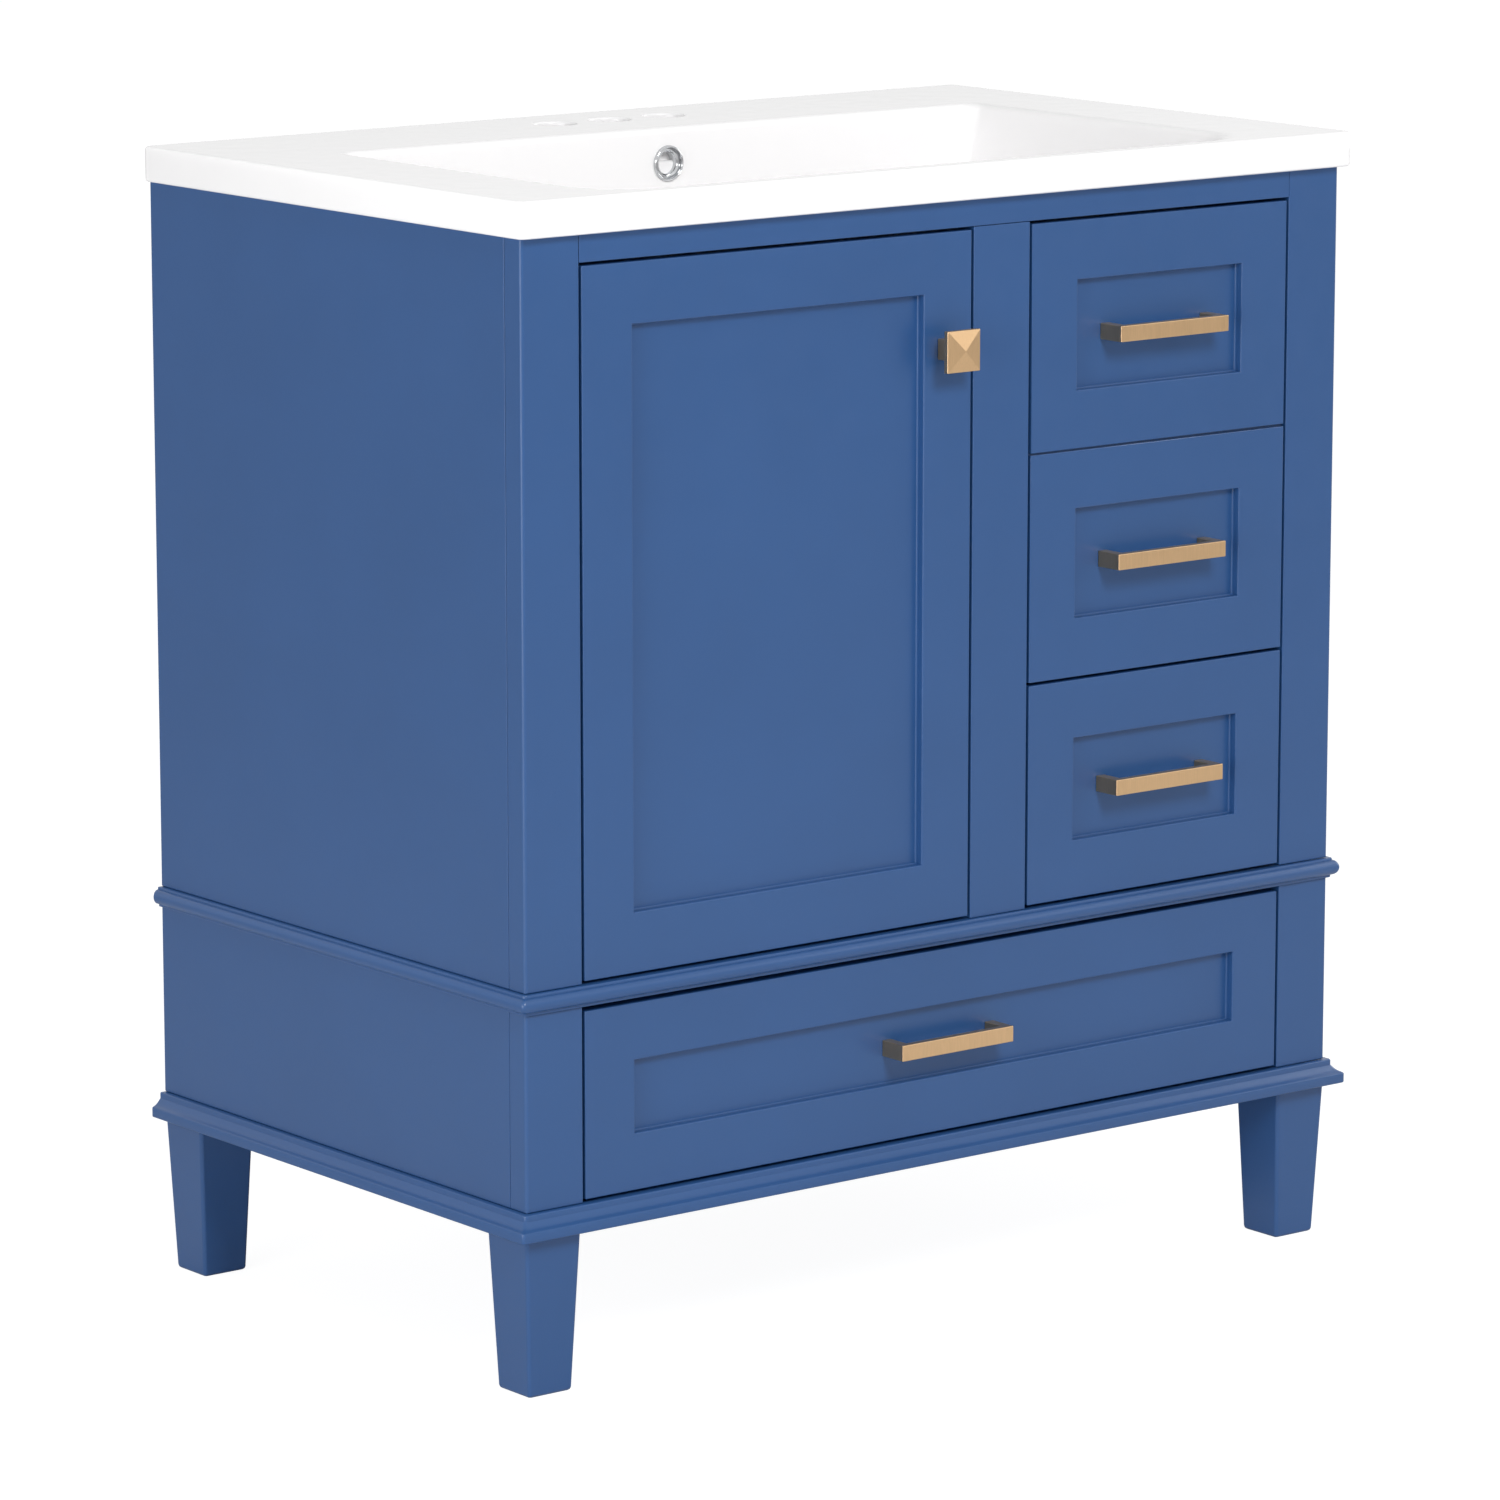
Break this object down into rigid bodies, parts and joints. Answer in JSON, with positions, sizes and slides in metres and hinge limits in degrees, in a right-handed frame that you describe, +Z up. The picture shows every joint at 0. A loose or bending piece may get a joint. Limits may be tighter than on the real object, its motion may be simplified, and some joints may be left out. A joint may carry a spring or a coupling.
{
  "type": "bathroom vanity cabinet",
  "caption": "Freestanding blue-painted bathroom vanity: inset door and drawers in a face frame on tapered legs, with moulded boards, brass pulls and a white basin top.",
  "frame": {"origin": "on the floor, under the middle of the whole object's box, knob included", "axes": "+X to the right seen from the front, +Y towards the wall, +Z up; the door and drawers face -Y"},
  "size_m": [0.7728, 0.478, 0.84],
  "materials": {
    "blue_paint": "satin blue paint on smooth board",
    "white_glaze": "glossy white",
    "brushed_brass": "brushed champagne brass",
    "chrome": "polished",
    "birch_board": "pale birch board, clear lacquer",
    "zinc_steel": "zinc-plated pressed steel"
  },
  "bodies": {
    "carcass": {"base_board": "blue_paint", "lower_side_left": "blue_paint", "lower_side_right": "blue_paint", "lower_post_left": "blue_paint", "lower_post_right": "blue_paint", "middle_board": "blue_paint", "upper_side_left": "blue_paint", "upper_side_right": "blue_paint", "upper_post_left": "blue_paint", "upper_post_right": "blue_paint", "top_rail": "blue_paint", "centre_stile": "blue_paint", "partition": "birch_board", "back_panel": "blue_paint", "leg_front_left": "blue_paint", "leg_front_right": "blue_paint", "leg_back_left": "blue_paint", "leg_back_right": "blue_paint", "basin_top": "white_glaze", "overflow_ring": "chrome", "hinge_arm_lower": "zinc_steel", "hinge_arm_upper": "zinc_steel", "slide_packing_upper": "birch_board", "slide_packing_right": "birch_board", "slide_packing_left": "birch_board", "upper_drawer_slide_left": "zinc_steel", "upper_drawer_slide_right": "zinc_steel", "lower_drawer_slide_left": "zinc_steel", "lower_drawer_slide_right": "zinc_steel", "bottom_drawer_slide_left": "zinc_steel", "bottom_drawer_slide_right": "zinc_steel"},
    "door": {"door_front": "blue_paint", "door_knob": "brushed_brass", "hinge_cup_lower": "zinc_steel", "hinge_cup_upper": "zinc_steel"},
    "upper_drawer": {"upper_drawer_front": "blue_paint", "upper_drawer_box_left": "birch_board", "upper_drawer_box_right": "birch_board", "upper_drawer_box_back": "birch_board", "upper_drawer_box_bottom": "birch_board", "upper_drawer_runner_left": "zinc_steel", "upper_drawer_runner_right": "zinc_steel", "upper_drawer_pull_1": "brushed_brass", "upper_drawer_pull_2": "brushed_brass"},
    "lower_drawer": {"lower_drawer_front": "blue_paint", "lower_drawer_box_left": "birch_board", "lower_drawer_box_right": "birch_board", "lower_drawer_box_back": "birch_board", "lower_drawer_box_bottom": "birch_board", "lower_drawer_runner_left": "zinc_steel", "lower_drawer_runner_right": "zinc_steel", "lower_drawer_pull": "brushed_brass"},
    "bottom_drawer": {"bottom_drawer_front": "blue_paint", "bottom_drawer_box_left": "birch_board", "bottom_drawer_box_right": "birch_board", "bottom_drawer_box_back": "birch_board", "bottom_drawer_box_bottom": "birch_board", "bottom_drawer_runner_left": "zinc_steel", "bottom_drawer_runner_right": "zinc_steel", "bottom_drawer_pull": "brushed_brass"}
  },
  "joints": [
    {"name": "door_hinge", "type": "hinge", "parent": "carcass", "child": "door", "pos_m": [-0.324, -0.217, 0.5425], "axis": [0, 0, -1], "range_deg": [0, 105]},
    {"name": "upper_drawer_slide", "type": "slide", "parent": "carcass", "child": "upper_drawer", "axis": [0, -1, 0], "range_m": [0, 0.3]},
    {"name": "lower_drawer_slide", "type": "slide", "parent": "carcass", "child": "lower_drawer", "axis": [0, -1, 0], "range_m": [0, 0.3]},
    {"name": "bottom_drawer_slide", "type": "slide", "parent": "carcass", "child": "bottom_drawer", "axis": [0, -1, 0], "range_m": [0, 0.3]}
  ]
}
